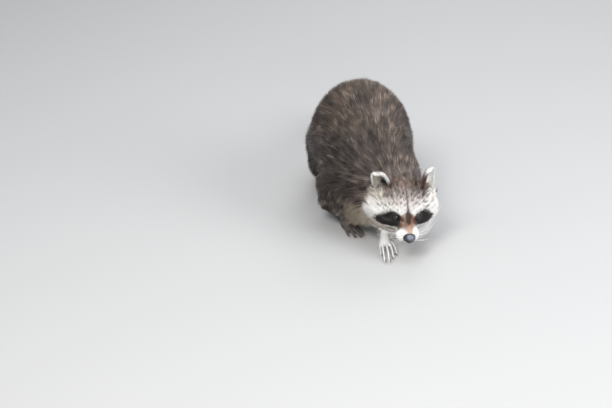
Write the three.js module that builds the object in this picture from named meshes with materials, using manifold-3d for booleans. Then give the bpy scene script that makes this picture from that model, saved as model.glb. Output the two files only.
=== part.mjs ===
// A life-size raccoon that steps forward with its head low, as a still model.
// Millimetres, +Z up. The animal faces -Y, its left side is +X and the floor is z = 0.
// Every outline is the outside of the coat.
import * as THREE from "three";
import { mergeVertices } from "three/addons/utils/BufferGeometryUtils.js";
import { LoftGeometry } from "three/addons/geometries/LoftGeometry.js";
import Module from "manifold-3d";

const wasm = await Module();
wasm.setup();

// ---------------------------------------------------------------- driving dimensions
const HEAD_LENGTH = 128; // tip of the nose to the back of the skull
const CHEEK_WIDTH = 150; // across the cheek ruffs
const EAR_HEIGHT = 56;
const EAR_WIDTH = 46;
const EYE_RADIUS = 8.5;
const EYE_SPACING = 41; // between the middles of the eyes
const NOSE_WIDTH = 21;
const TRUNK_WIDTH = 214;
const BACK_HEIGHT = 252;
const BELLY_CLEARANCE = 38; // floor to the fur of the belly
const TRUNK_LENGTH = 330; // front of the chest to the rump
const TAIL_RADIUS = 35;
const HAND_LENGTH = 74; // wrist to the tip of the longest finger
const FOOT_LENGTH = 98; // heel to the tip of the longest toe
const CLAW_LENGTH = 9;

const GAP = 0.35; // left between neighbouring solids
const MARCH = 3; // first step of a ray on its way out to the coat
const BLOCK = 900; // of the blocks that part and trim the solids

const { degToRad, lerp } = THREE.MathUtils;
const UP = new THREE.Vector3(0, 0, 1);
const V = (x, y, z) => new THREE.Vector3(x, y, z);

// ---------------------------------------------------------------- fields
// A field is a function of a point: negative inside a shape, zero on it, positive outside.

const egg = (middle, rx, ry, rz) => (p) => {
  const x = (p.x - middle.x) / rx;
  const y = (p.y - middle.y) / ry;
  const z = (p.z - middle.z) / rz;
  const far = Math.hypot(x, y, z);
  const slope = Math.hypot(x / rx, y / ry, z / rz);
  return slope > 1e-9 ? (far * (far - 1)) / slope : -Math.min(rx, ry, rz);
};

const bone = (a, b, ra, rb) => {
  const line = new THREE.Line3(a, b);
  const near = new THREE.Vector3();
  return (p) => {
    const t = line.closestPointToPointParameter(p, true);
    return line.at(t, near).distanceTo(p) - lerp(ra, rb, t);
  };
};

const chain = (points, radii) => {
  const links = radii.slice(1).map((r, i) => bone(points[i], points[i + 1], radii[i], r));
  return (p) => Math.min(...links.map((link) => link(p)));
};

const smoothLow = (a, b, k) => {
  const share = Math.max(k - Math.abs(a - b), 0) / k;
  return Math.min(a, b) - (share * share * k) / 4;
};

const blend = (k, ...fields) => (p) => fields.reduce((low, f) => smoothLow(low, f(p), k), Infinity);
const carve = (k, field, cutter) => (p) => -smoothLow(-field(p), cutter(p), k);
const grown = (field, by) => (p) => field(p) - by;
const mirrored = (field) => (p) => field(V(-p.x, p.y, p.z));
const bothSides = (k, field) => blend(k, field, mirrored(field));

// A field whose numbers are in another frame, placed by that frame's matrix.
const placed = (matrix, field) => {
  const inverse = matrix.clone().invert();
  const local = new THREE.Vector3();
  return (p) => field(local.copy(p).applyMatrix4(inverse));
};

// ---------------------------------------------------------------- solids

// How far a ray runs inside a field.
function reach(field, from, way) {
  const at = (far) => field(from.clone().addScaledVector(way, far));
  let [inside, outside] = [0, MARCH];
  while (at(outside) < 0) [inside, outside] = [outside, outside + MARCH];
  for (let i = 0; i < 10; i++) {
    const middle = (inside + outside) / 2;
    if (at(middle) < 0) inside = middle;
    else outside = middle;
  }
  return outside;
}

// Sections stand across a line, and rays from the line end where the field does. A round end
// fans its rays out beyond the line's end, and a flat end stops half a gap short of it.
function loft(line, field, ways) {
  const { sides, steps, from = 0, to = 1, roundStart = 0, roundEnd = 0, short = GAP / 2, up = UP } = ways;
  const stations = [];
  for (let i = 1; i <= roundStart; i++) stations.push({ share: from, lean: i / (roundStart + 1) - 1 });
  for (let i = 0; i <= steps; i++) stations.push({ share: lerp(from, to, i / steps), lean: 0 });
  for (let i = 1; i <= roundEnd; i++) stations.push({ share: to, lean: i / (roundEnd + 1) });
  const sections = stations.map(({ share, lean }, row) => {
    const middle = line.getPointAt(share);
    const along = line.getTangentAt(share);
    if (row === 0 && !roundStart) middle.addScaledVector(along, short);
    if (row === stations.length - 1 && !roundEnd) middle.addScaledVector(along, -short);
    const side = V().crossVectors(along, up).normalize();
    const over = V().crossVectors(along, side);
    const tilt = (lean * Math.PI) / 2;
    return Array.from({ length: sides }, (_, i) => {
      const turn = (i / sides) * 2 * Math.PI;
      const way = V()
        .addScaledVector(side, Math.cos(turn) * Math.cos(tilt))
        .addScaledVector(over, Math.sin(turn) * Math.cos(tilt))
        .addScaledVector(along, Math.sin(tilt));
      return middle.clone().addScaledVector(way, reach(field, middle, way));
    });
  });
  return solid(new LoftGeometry(sections, { capStart: true, capEnd: true }));
}

function solid({ index, attributes }) {
  const bare = new THREE.BufferGeometry().setIndex(index).setAttribute("position", attributes.position);
  const merged = mergeVertices(bare, 1e-3);
  const mesh = new wasm.Mesh({
    numProp: 3,
    vertProperties: merged.attributes.position.array,
    triVerts: new Uint32Array(merged.index.array),
  });
  return new wasm.Manifold(mesh);
}

function geometryOf(shape) {
  const { vertProperties, triVerts } = shape.getMesh();
  const geometry = new THREE.BufferGeometry();
  geometry.setAttribute("position", new THREE.BufferAttribute(vertProperties, 3));
  geometry.setIndex(new THREE.BufferAttribute(triVerts, 1));
  return geometry;
}

const joined = (shapes) => shapes.reduce((whole, shape) => whole.add(shape));
const largest = (shape) => shape.decompose().reduce((a, b) => (a.volume() > b.volume() ? a : b));
const curve = (...points) => new THREE.CatmullRomCurve3(points, false, "centripetal");
const straight = (a, b) => new THREE.LineCurve3(a, b);

// A block that fills the far side of a plane, from half a gap short of it.
function farSide(point, along) {
  const block = new THREE.BoxGeometry(BLOCK, BLOCK, BLOCK).translate(0, 0, BLOCK / 2);
  block.applyQuaternion(new THREE.Quaternion().setFromUnitVectors(UP, along));
  const corner = point.clone().addScaledVector(along, -GAP / 2);
  return solid(block.translate(corner.x, corner.y, corner.z));
}

const underFloor = solid(new THREE.BoxGeometry(BLOCK, BLOCK, BLOCK).translate(0, 0, -BLOCK / 2));

// ---------------------------------------------------------------- materials
const paint = (color, roughness) => new THREE.MeshStandardMaterial({ color, roughness, metalness: 0 });
const materials = {
  bodyFur: paint(0x55504b, 0.9),
  faceFur: paint(0x9a938a, 0.85),
  tailFur: paint(0x4a443f, 0.9),
  tailPale: paint(0x9a8f80, 0.9),
  pawFur: paint(0xb8b0a4, 0.8),
  earFur: paint(0xd8d2c6, 0.85),
  eye: paint(0x120d0a, 0.08),
  nose: paint(0x1b1a1c, 0.35),
  claw: paint(0x2c2622, 0.35),
};

const raccoon = new THREE.Group();

function add(name, shape, material) {
  const mesh = new THREE.Mesh(geometryOf(shape), material);
  mesh.name = name;
  raccoon.add(mesh);
}

// ---------------------------------------------------------------- head
// In the head's own frame the tip of the nose is the origin, +Y runs back along the skull
// and +Z is the top of the head.
const NOSE_TIP = V(63, -157, 50);
const HEAD_PITCH = degToRad(21.5);
const HEAD_YAW = degToRad(1);
const HEAD_ROLL = degToRad(3.4);
const headFrame = new THREE.Matrix4()
  .makeRotationFromEuler(new THREE.Euler(HEAD_PITCH, HEAD_ROLL, HEAD_YAW, "ZXY"))
  .setPosition(NOSE_TIP);
const headPoint = (x, y, z) => V(x, y, z).applyMatrix4(headFrame);

const EYE = V(EYE_SPACING / 2, 52.5, 11);
const SKULL_BACK = HEAD_LENGTH - 34; // middle of the braincase
const CHEEK_SIZE = 30;

function headShape() {
  const braincase = egg(V(0, SKULL_BACK, 7), 50, 46, 41);
  const forehead = egg(V(0, 66, 11), 30, 34, 24);
  const browRidge = egg(V(18, 56, 18), 13, 14, 9);
  const cheek = egg(V(CHEEK_WIDTH / 2 - CHEEK_SIZE, 86, -9), CHEEK_SIZE + 1, 27, 31);
  const cheekbone = egg(V(32, 64, -3), 18, 20, 16);
  const snout = bone(V(0, 52, -3), V(0, 17, -5), 21, 14);
  const bridge = bone(V(0, 50, 12), V(0, 9, 2), 9.5, 7);
  const whiskerPad = egg(V(11, 20, -8), 12.5, 16, 11);
  const jaw = bone(V(0, 76, -26), V(0, 18, -16.5), 20, 8);
  const throat = egg(V(0, 94, -24), 46, 34, 34);
  const skull = blend(12, braincase, forehead, snout, throat, bothSides(6, cheek), bothSides(6, cheekbone));
  const face = blend(7, skull, bridge, jaw, bothSides(3, browRidge), bothSides(4, whiskerPad));
  const socket = egg(EYE.clone().add(V(3, -7, 0)), 11, 9, 8.5);
  return carve(6, carve(6, face, socket), mirrored(socket));
}

// ---------------------------------------------------------------- trunk and neck
const HALF_WIDTH = TRUNK_WIDTH / 2;
const HALF_DEPTH = (BACK_HEIGHT - BELLY_CLEARANCE) / 2;
const TRUNK_MIDDLE = (BACK_HEIGHT + BELLY_CLEARANCE) / 2;
const RUMP = TRUNK_LENGTH - 62; // how far the rump lies behind the withers
const RUMP_SWING = 18; // the rump swings to the animal's left

function trunkShape() {
  const chest = egg(V(4, -8, 81), 60, 50, 62);
  const ribs = egg(V(9, 62, TRUNK_MIDDLE - 10), HALF_WIDTH - 18, 104, HALF_DEPTH - 16);
  const belly = egg(V(12, 140, TRUNK_MIDDLE - 8), HALF_WIDTH - 3, 96, HALF_DEPTH - 10);
  const back = egg(V(14, 146, TRUNK_MIDDLE + 22), HALF_WIDTH - 30, 88, HALF_DEPTH - 26);
  const withers = egg(V(12, 30, 164), 52, 60, 40);
  const rump = egg(V(RUMP_SWING, RUMP - 76, TRUNK_MIDDLE - 8), HALF_WIDTH - 24, 72, HALF_DEPTH - 26);
  return blend(32, chest, ribs, belly, back, withers, rump);
}

const trunkField = trunkShape();
const headField = placed(headFrame, headShape());
const neckField = blend(
  20,
  bone(V(16, 20, 140), headPoint(0, 110, 2), 72, 51),
  bone(V(12, 0, 108), headPoint(0, 104, -14), 56, 42),
  bone(V(50, 38, 142), headPoint(18, 112, 4), 50, 34),
);
const bodyField = blend(22, trunkField, neckField, headField);

const spine = curve(
  headPoint(0, 13, -5),
  headPoint(0, 52, -2),
  headPoint(0, 88, 1),
  V(53, -34, 105),
  V(38, 8, 122),
  V(25, 60, 133),
  V(18, 130, 141),
  V(RUMP_SWING, RUMP - 62, 140),
);
const NECK_FRONT = 0.27; // shares of the spine's length where the neck starts and ends
const NECK_BACK = 0.46;

// ---------------------------------------------------------------- eyes and nose
function eyeBall(side, radius) {
  const middle = headPoint(EYE.x * side, EYE.y, EYE.z);
  return solid(new THREE.SphereGeometry(radius, 10, 6)).translate(middle.toArray());
}

function noseLeather(by) {
  const width = NOSE_WIDTH / 2;
  const pad = blend(
    4,
    egg(V(0, 6.5, 1.5), width - 1.5, 7, 6),
    bothSides(2, egg(V(5, 6.5, -1), width - 5, 6, 4.6)),
    egg(V(0, 6, -4.5), 4.5, 5, 4),
  );
  const nostril = egg(V(5.2, 0.2, -0.6), 2.1, 3, 1.7);
  const cut = carve(1, carve(1, pad, nostril), mirrored(nostril));
  const line = straight(headPoint(0, 4.5, -0.5), headPoint(0, 9.5, 0));
  const field = placed(headFrame, grown(by ? pad : cut, by));
  return loft(line, field, { sides: 16, steps: 1, roundStart: 3, roundEnd: 2 });
}

// ---------------------------------------------------------------- ears
// In an ear's own frame +Z runs up the ear and its open side faces -Y.
const EAR_ROOT = V(0, 103, 29);
const EAR_APART = { left: 45, right: 36 }; // from the middle of the head to each root
const EAR_LEAN = { left: degToRad(-1), right: degToRad(22) }; // of the tip, outward
const EAR_TURN = { left: degToRad(48), right: degToRad(22) }; // of the open side, outward
const EAR_WALL = 3.4;
const EAR_TAPER = 0.72; // width at the top, as a share of the width at the root
const EAR_SUNK = 4; // the ear starts this far below its root
const SHELL_DEPTH = 0.5; // depths across the width, of the outside and of the hollow
const HOLLOW_DEPTH = 0.6;
const HOLLOW_SHIFT = -6.5; // the hollow lies this far in front of the ear's middle

function earShell(name, side) {
  const frame = headFrame
    .clone()
    .multiply(new THREE.Matrix4().makeTranslation(EAR_APART[name] * side, EAR_ROOT.y, EAR_ROOT.z))
    .multiply(new THREE.Matrix4().makeRotationY(EAR_LEAN[name] * side))
    .multiply(new THREE.Matrix4().makeRotationZ(EAR_TURN[name] * side));
  const up = V(0, 1, 0).transformDirection(frame);
  const blade = (half, height, depth, shift, sides) => {
    const top = half * EAR_TAPER;
    const flat = new THREE.Matrix4().makeScale(1, depth, 1).setPosition(0, shift, 0);
    const round = bone(V(0, 0, -EAR_SUNK), V(0, 0, height - top), half, top);
    const [foot, head] = [2, height - half].map((z) => V(0, shift, z).applyMatrix4(frame));
    const field = placed(frame, placed(flat, round));
    return loft(straight(foot, head), field, { sides, steps: 3, roundStart: 1, roundEnd: 3, up });
  };
  const half = EAR_WIDTH / 2;
  const outside = blade(half, EAR_HEIGHT, SHELL_DEPTH, 0, 12);
  const hollow = blade(half - EAR_WALL, EAR_HEIGHT - EAR_WALL, HOLLOW_DEPTH, HOLLOW_SHIFT, 10);
  return outside.subtract(hollow);
}

// ---------------------------------------------------------------- tail
const TAIL_CUTS = [0.4, 0.7]; // shares of the tail's length where its pieces part
const tailLine = curve(
  V(RUMP_SWING, RUMP - 46, 140),
  V(RUMP_SWING + 2, RUMP + 16, 122),
  V(RUMP_SWING + 8, RUMP + 78, 84),
  V(RUMP_SWING + 18, RUMP + 142, 60),
  V(RUMP_SWING + 34, RUMP + 196, 56),
);

function tailField() {
  const swell = (t) => TAIL_RADIUS * (0.78 + 0.22 * Math.sin(Math.PI * t * 0.9));
  const count = 8;
  const points = Array.from({ length: count + 1 }, (_, i) => tailLine.getPointAt(i / count));
  const radii = points.map((_, i) => swell(i / count));
  return blend(14, ...radii.slice(1).map((r, i) => bone(points[i], points[i + 1], radii[i], r)));
}

// ---------------------------------------------------------------- limbs
// A limb runs from the middle of its shoulder or haunch over its elbow or knee to its wrist or
// ankle, and `mass` holds the half sizes of that shoulder or haunch.
const limbs = {
  fore_left: {
    side: 1,
    points: [V(70, 20, 100), V(74, 22, 56), V(29, -76, 34)],
    radii: [30, 28, 10],
    mass: [40, 48, 54],
    paw: { at: V(25, -148, 0), heading: 1, kind: "reaching" },
  },
  fore_right: {
    side: -1,
    points: [V(-54, 26, 98), V(-58, 44, 48), V(-36, 12, 23)],
    radii: [34, 31, 15],
    mass: [40, 48, 54],
    paw: { at: V(-14, -42, 0), heading: 24, kind: "standing" },
  },
  hind_left: {
    side: 1,
    points: [V(84, 186, 98), V(92, 168, 62), V(80, 240, 36)],
    radii: [36, 31, 16],
    mass: [42, 60, 62],
    paw: { at: V(84, 146, 0), heading: -4, kind: "foot" },
  },
  hind_right: {
    side: -1,
    points: [V(-50, 188, 98), V(-60, 170, 62), V(-46, 244, 36)],
    radii: [36, 31, 16],
    mass: [42, 60, 62],
    paw: { at: V(-52, 152, 0), heading: 5, kind: "foot" },
  },
};

// In a paw's own frame the tip of the middle toe is on the origin, +Y runs back to the heel,
// and +X is the side away from the animal's middle.
const HAND_HEEL = HAND_LENGTH - 16; // tip of the middle toe to the middle of the heel
const FOOT_HEEL = FOOT_LENGTH - 13;
const pawPlans = {
  reaching: {
    palm: [V(0, HAND_HEEL - 11, 20), V(0.5, HAND_HEEL, 24)],
    radii: [9, 9.5],
    sole: egg(V(0, HAND_HEEL - 11, 19), 12, 12, 7.5),
    toes: [
      { root: V(-8.5, 51, 19), knuckle: V(-12, 39, 17), tip: V(-11.5, 28), thick: 2.6 },
      { root: V(-5.2, 46, 21), knuckle: V(-8.5, 25, 17.5), tip: V(-8.5, 4), thick: 2.7 },
      { root: V(0, 46, 21.5), knuckle: V(0.3, 24, 18), tip: V(0, 1), thick: 2.8 },
      { root: V(5.2, 47, 21), knuckle: V(9, 29, 17.5), tip: V(10, 10), thick: 2.7 },
      { root: V(8.8, 51, 19), knuckle: V(16.5, 39, 16), tip: V(19, 26), thick: 2.6 },
    ],
  },
  standing: {
    palm: [V(0, HAND_HEEL - 10, 9.5), V(0, HAND_HEEL, 12)],
    radii: [10.5, 11.5],
    sole: egg(V(0, HAND_HEEL - 9, 7), 13.5, 13, 9.5),
    toes: [
      { root: V(-9, 46, 9), knuckle: V(-12.5, 34, 8.5), tip: V(-13, 25), thick: 3.4 },
      { root: V(-6, 42, 9.5), knuckle: V(-8.5, 22, 9), tip: V(-9, 5), thick: 3.7 },
      { root: V(-0.5, 41, 10), knuckle: V(0, 20, 9.5), tip: V(0, 1), thick: 3.8 },
      { root: V(5, 42, 9.5), knuckle: V(8.5, 22, 9), tip: V(9.5, 6), thick: 3.7 },
      { root: V(9, 46, 9), knuckle: V(15, 32, 8.5), tip: V(18, 19), thick: 3.4 },
    ],
  },
  foot: {
    palm: [V(0, 46, 10.5), V(0, FOOT_HEEL, 12)],
    radii: [11.5, 12.5],
    sole: egg(V(0, 42, 8), 17, 22, 10.5),
    toes: [
      { root: V(-10, 42, 8.5), knuckle: V(-15, 27, 8), tip: V(-16.5, 17), thick: 4 },
      { root: V(-6.5, 34, 9), knuckle: V(-9, 18, 8.5), tip: V(-9.5, 4), thick: 4.4 },
      { root: V(0, 33, 9.5), knuckle: V(0, 17, 9), tip: V(0, 1), thick: 4.5 },
      { root: V(6.5, 34, 9), knuckle: V(9, 18, 8.5), tip: V(10, 4), thick: 4.4 },
      { root: V(11, 40, 8.5), knuckle: V(16, 25, 8), tip: V(18, 13), thick: 4.1 },
    ],
  },
};

function pawFrame({ paw, side }) {
  return new THREE.Matrix4()
    .makeRotationZ(degToRad(paw.heading))
    .multiply(new THREE.Matrix4().makeScale(side, 1, 1))
    .setPosition(paw.at);
}

const TOE_END = 0.8; // radius at a toe's tip, as a share of its thickness
const TOE_PRESS = 0.6; // the floor flattens a toe's tip by this much
const inPaw = (limb, p) => p.clone().applyMatrix4(pawFrame(limb));
const towards = (a, b) => b.clone().sub(a).normalize();
const capsule = (a, b, ra, rb, sides) =>
  loft(straight(a, b), bone(a, b, ra, rb), { sides, steps: 2, roundStart: 2, roundEnd: 2 });

function toeSolid(limb, toe) {
  const onFloor = toe.tip.clone().setZ(toe.thick * TOE_END - TOE_PRESS);
  const [root, knuckle, tip] = [toe.root, toe.knuckle, onFloor].map((p) => inPaw(limb, p));
  const field = chain([root, knuckle, tip], [toe.thick + 0.8, toe.thick, toe.thick * TOE_END]);
  return loft(curve(root, knuckle, tip), field, { sides: 6, steps: 3, roundEnd: 1 });
}

// The wrist or ankle ends on the plane through its joint. Palm and toes may reach past that plane
// under the lower part of the limb, and stay clear of it.
function pawSolid(limb, beyondJoint, lowerPart) {
  const { palm, radii, sole, toes } = pawPlans[limb.paw.kind];
  const [ball, heel] = palm.map((p) => inPaw(limb, p));
  const [, , joint] = limb.points;
  const field = blend(6, bone(ball, heel, ...radii), placed(pawFrame(limb), sole));
  const pad = loft(straight(ball, heel), field, { sides: 10, steps: 1, roundStart: 2, roundEnd: 2 });
  const rise = capsule(heel, joint, radii[1] - 0.5, limb.radii[2], 10).subtract(beyondJoint);
  const flat = joined([pad, ...toes.map((toe) => toeSolid(limb, toe))]).subtract(lowerPart);
  return rise.add(flat).subtract(underFloor);
}

// A claw stands just clear of the toe's tip and curves down to just above the floor.
function clawSolid(limb, toe) {
  const ahead = toe.tip.clone().sub(toe.knuckle).setZ(0).normalize();
  const start = toe.thick * TOE_END + GAP;
  const at = (share, z) => {
    const place = toe.tip.clone().addScaledVector(ahead, start + CLAW_LENGTH * share);
    return inPaw(limb, place.setZ(z));
  };
  const line = curve(at(0, 3.4), at(0.5, 3.4), at(0.9, 1.2));
  const field = chain(line.getPoints(3), [1.8, 1.6, 1.2, 0.5]);
  return loft(line, field, { sides: 5, steps: 2, roundEnd: 1, short: 0 });
}

// ---------------------------------------------------------------- the animal
const lengths = {
  head: { to: NECK_FRONT, sides: 32, steps: 14, roundStart: 3 },
  neck: { from: NECK_FRONT, to: NECK_BACK, sides: 28, steps: 3 },
  trunk: { from: NECK_BACK, sides: 26, steps: 11, roundEnd: 3 },
};
const bodyLength = (name) => loft(spine, bodyField, lengths[name]);
const sleeve = joined(
  Object.values(lengths).map((ways) => loft(spine, grown(bodyField, GAP), { ...ways, short: -GAP })),
);
const bothEars = Object.entries({ left: 1, right: -1 });

function buildBody() {
  let head = bodyLength("head").subtract(noseLeather(GAP));
  for (const [name, side] of bothEars) {
    head = head.subtract(eyeBall(side, EYE_RADIUS + GAP));
    add(`eye_${name}`, eyeBall(side, EYE_RADIUS), materials.eye);
    add(`ear_${name}`, largest(earShell(name, side).subtract(sleeve)), materials.earFur);
  }
  add("head", head, materials.faceFur);
  add("nose", noseLeather(0), materials.nose);
  add("neck", bodyLength("neck"), materials.bodyFur);
  add("trunk", bodyLength("trunk"), materials.bodyFur);
}

function buildTail() {
  const field = tailField();
  const edges = [0, ...TAIL_CUTS, 1];
  const names = ["tail_root", "tail_middle", "tail_tip"];
  const paints = [materials.tailFur, materials.tailPale, materials.tailFur];
  names.forEach((name, i) => {
    const roundEnd = i === names.length - 1 ? 4 : 0;
    const length = loft(tailLine, field, { from: edges[i], to: edges[i + 1], sides: 14, steps: 4, roundEnd });
    add(name, largest(length.subtract(sleeve)), paints[i]);
  });
}

function buildLimb(name, limb) {
  const [top, bend, joint] = limb.points;
  const [topRadius, bendRadius, jointRadius] = limb.radii;
  const heel = inPaw(limb, pawPlans[limb.paw.kind].palm[1]);
  const down = towards(top, bend);
  const out = towards(bend, joint);
  const turnAtBend = down.clone().add(out).normalize();
  const turnAtJoint = out.clone().add(towards(joint, heel)).normalize();
  const upperField = blend(16, egg(top, ...limb.mass), bone(top, bend, topRadius, bendRadius));
  const upper = loft(straight(top, bend), upperField, { sides: 14, steps: 2, roundStart: 3, roundEnd: 2 })
    .subtract(farSide(bend, turnAtBend))
    .subtract(sleeve);
  const lowerPart = (by) =>
    capsule(bend, joint, bendRadius + by, jointRadius + by, 12).subtract(farSide(joint, turnAtJoint));
  const lower = lowerPart(0)
    .subtract(farSide(bend, turnAtBend.clone().negate()))
    .subtract(sleeve);
  const beyondJoint = farSide(joint, turnAtJoint.clone().negate());
  const paw = pawSolid(limb, beyondJoint, lowerPart(GAP)).subtract(sleeve);
  add(`${name}_upper`, largest(upper), materials.bodyFur);
  add(`${name}_lower`, largest(lower), materials.bodyFur);
  add(`${name}_paw`, largest(paw), materials.pawFur);
  pawPlans[limb.paw.kind].toes.forEach((toe, i) => {
    add(`${name}_claw_${i + 1}`, clawSolid(limb, toe), materials.claw);
  });
}

buildBody();
buildTail();
for (const [name, limb] of Object.entries(limbs)) buildLimb(name, limb);

// The origin is the middle of the whole animal's outline, on the floor.
const middle = new THREE.Box3().setFromObject(raccoon).getCenter(V());
raccoon.position.set(-middle.x, -middle.y, 0);

export default raccoon;
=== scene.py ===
"""The looks of a life-size still raccoon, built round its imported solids.

Metres, in the frame of the solids: +Z up, the animal faces -Y and its left side is +X.
The solids give the outside of the coat. One skin lies inside them by the depth of the coat,
and small closed blades of mesh fill that depth. Numbers in the head's or an ear's own frame are
millimetres, with the tip of the nose or the root of the ear as the origin, +Y backwards.
"""
import math
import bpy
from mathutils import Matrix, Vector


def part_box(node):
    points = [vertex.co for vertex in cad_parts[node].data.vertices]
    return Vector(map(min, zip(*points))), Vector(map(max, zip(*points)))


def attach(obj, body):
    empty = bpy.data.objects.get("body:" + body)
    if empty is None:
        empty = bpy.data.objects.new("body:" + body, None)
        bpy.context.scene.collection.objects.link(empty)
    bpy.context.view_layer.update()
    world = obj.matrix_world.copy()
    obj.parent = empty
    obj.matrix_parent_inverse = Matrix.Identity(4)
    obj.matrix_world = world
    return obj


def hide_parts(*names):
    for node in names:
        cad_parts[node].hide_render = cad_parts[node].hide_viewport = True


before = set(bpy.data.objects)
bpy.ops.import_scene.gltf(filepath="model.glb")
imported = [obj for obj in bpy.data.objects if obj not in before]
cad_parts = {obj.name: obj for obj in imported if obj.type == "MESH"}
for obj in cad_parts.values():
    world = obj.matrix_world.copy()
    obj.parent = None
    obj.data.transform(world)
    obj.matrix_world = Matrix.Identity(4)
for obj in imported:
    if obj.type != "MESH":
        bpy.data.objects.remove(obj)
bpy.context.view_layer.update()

from types import SimpleNamespace

import bmesh
import bpy
import numpy as np
from mathutils import Matrix, Vector
from mathutils.bvhtree import BVHTree
from mathutils.kdtree import KDTree

MM = 0.001
CM2 = 1e-4  # a square centimetre in square metres
SIDES = {"left": 1, "right": -1}

# ------------------------ camera
CAMERA_AZIMUTH = math.radians(-9)
CAMERA_ELEVATION = math.radians(27)
CAMERA_DISTANCE = 3.2
PHOTO_WIDTH, PHOTO_HEIGHT = 612, 408
FOCAL_PIXELS = 1664
AXIS_PIXEL = (379.7, 199.8)  # where the camera's axis meets the picture
AIM_FROM_NOSE = Vector((-43, 97, 40)) * MM
SENSOR_WIDTH = 36

# ------------------------ sizes of the head, in mm
HEAD_PITCH = math.radians(21.5)
HEAD_ROLL = math.radians(3.4)
HEAD_YAW = math.radians(1)
EYE = np.array((19.2, 52.5, 11.0))  # middle of the left eye in the head's frame
EYE_RADIUS = 8.5
EAR_ROOT = np.array((0.0, 103.0, 29.0))
EAR_APART = {"left": 45, "right": 36}  # from the middle of the head to each root
EAR_LEAN = {"left": math.radians(-1), "right": math.radians(22)}
EAR_TURN = {"left": math.radians(48), "right": math.radians(22)}
EAR_HALF_WIDTH = 23
EAR_HEIGHT = 56
EAR_TAPER = 0.72  # width near the top, as a share of the width at the root

# ------------------------ small helpers
rng = np.random.default_rng(20)


def size_of(v):
    return np.linalg.norm(v, axis=-1)


def unit(v):
    return v / np.maximum(size_of(v)[..., None], 1e-12)


def smooth(low, high, x):
    """0 below low, 1 above high, and an even rise between them. Low may be the higher one."""
    t = np.clip((x - low) / (high - low), 0, 1)
    return t * t * (3 - 2 * t)


def mix(a, b, share):
    """From a to b. A share for each row suits places and colours in rows, or one of them."""
    in_threes = (3,) in (np.shape(a), np.shape(b)) or 2 in (np.ndim(a), np.ndim(b))
    if np.ndim(share) == 1 and in_threes:
        share = np.asarray(share)[:, None]
    return a + (b - a) * share


def layered(colour, *layers):
    """A colour with others laid over it in turn, each given as (colour, how much it covers)."""
    for over, share in layers:
        colour = mix(colour, over, share)
    return colour


def dot(a, b):
    return (a * b).sum(axis=-1)


def flat_to(v, normals):
    """What is left of v along the surface."""
    return v - normals * dot(v, normals)[:, None]


RIPPLE_WAVES = 7


def ripple(points, size, seed):
    """A smooth random pattern between about -1 and 1, with patches about size metres across."""
    draw = np.random.default_rng(seed)
    waves = unit(draw.normal(size=(RIPPLE_WAVES, 3))) * draw.uniform(2, 5, (RIPPLE_WAVES, 1)) / size
    phases = draw.uniform(0, 2 * math.pi, RIPPLE_WAVES)
    return np.sin(points @ waves.T + phases).sum(axis=1) / 3


def along_line(x, line):
    """Height at each x of a line given as (x, height) pairs."""
    return np.interp(x, *np.array(line).T)


def middle(node):
    low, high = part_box(node)
    return np.array((low + high) / 2)


def turned(*turns):
    """A rotation matrix made of (axis, angle) pairs."""
    made = Matrix.Identity(3)
    for axis, angle in turns:
        made = made @ Matrix.Rotation(angle, 3, axis)
    return np.array(made)


HEAD_TURN = turned(("Z", HEAD_YAW), ("X", HEAD_PITCH), ("Y", HEAD_ROLL))
EYES_MIDDLE = (middle("eye_left") + middle("eye_right")) / 2
NOSE_TIP = EYES_MIDDLE - HEAD_TURN @ (EYE * (0, 1, 1) * MM)


def in_head(points):
    return (points - NOSE_TIP) @ HEAD_TURN / MM


def from_head(local):
    return NOSE_TIP + (np.asarray(local, float) * MM) @ HEAD_TURN.T


def mirrored(local):
    """Distance from the middle of the face, distance behind the nose, and height over it."""
    x, y, z = local.T
    return np.abs(x), y, z


def by_side(local, table):
    """A table's entry for the side of the head that each point is on."""
    return np.where(local[:, 0] > 0, table["left"], table["right"])


def ear_frame(side_name):
    """Origin and axes of an ear in the head's frame: +Z runs up it and its open side faces -Y."""
    side = SIDES[side_name]
    axes = turned(("Y", EAR_LEAN[side_name] * side), ("Z", EAR_TURN[side_name] * side))
    return EAR_ROOT + (EAR_APART[side_name] * side, 0, 0), axes


# ------------------------ meshes
def new_object(name, data):
    piece = bpy.data.objects.new(name, data)
    bpy.context.scene.collection.objects.link(piece)
    return piece


def mesh_from(name, points, triangles):
    mesh = bpy.data.meshes.new(name)
    mesh.vertices.add(len(points))
    mesh.vertices.foreach_set("co", np.asarray(points, np.float32).ravel())
    mesh.loops.add(triangles.size)
    mesh.loops.foreach_set("vertex_index", triangles.astype(np.int32).ravel())
    mesh.polygons.add(len(triangles))
    mesh.polygons.foreach_set("loop_start", np.arange(0, triangles.size, 3, dtype=np.int32))
    mesh.update(calc_edges=True)
    mesh.shade_smooth()
    return mesh


def finished(build, name):
    """A mesh of what a bmesh holds."""
    mesh = bpy.data.meshes.new(name)
    build.to_mesh(mesh)
    build.free()
    return mesh


def read(elements, field, width, kind=np.float32):
    """One field of all elements of a mesh, in rows."""
    values = np.empty(len(elements) * width, kind)
    elements.foreach_get(field, values)
    return values.reshape(-1, width)


def points_of(mesh):
    return read(mesh.vertices, "co", 3).astype(float)


def set_points(mesh, points):
    mesh.vertices.foreach_set("co", points.astype(np.float32).ravel())
    mesh.update()


def normals_of(mesh):
    return read(mesh.vertex_normals, "vector", 3).astype(float)


def triangles_of(mesh):
    mesh.calc_loop_triangles()
    return read(mesh.loop_triangles, "vertices", 3, np.int32)


def add_field(mesh, name, kind, part, values):
    """Gives each vertex a value of its own."""
    attribute = mesh.attributes.new(name, kind, "POINT")
    attribute.data.foreach_set(part, values.astype(np.float32).ravel())


def joined(names):
    """One mesh of several nodes, with the number of its node for each face."""
    build = bmesh.new()
    owner = []
    for number, name in enumerate(names):
        build.from_mesh(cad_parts[name].data)
        owner += [number] * (len(build.faces) - len(owner))
    return finished(build, "joined"), np.array(owner)


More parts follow.
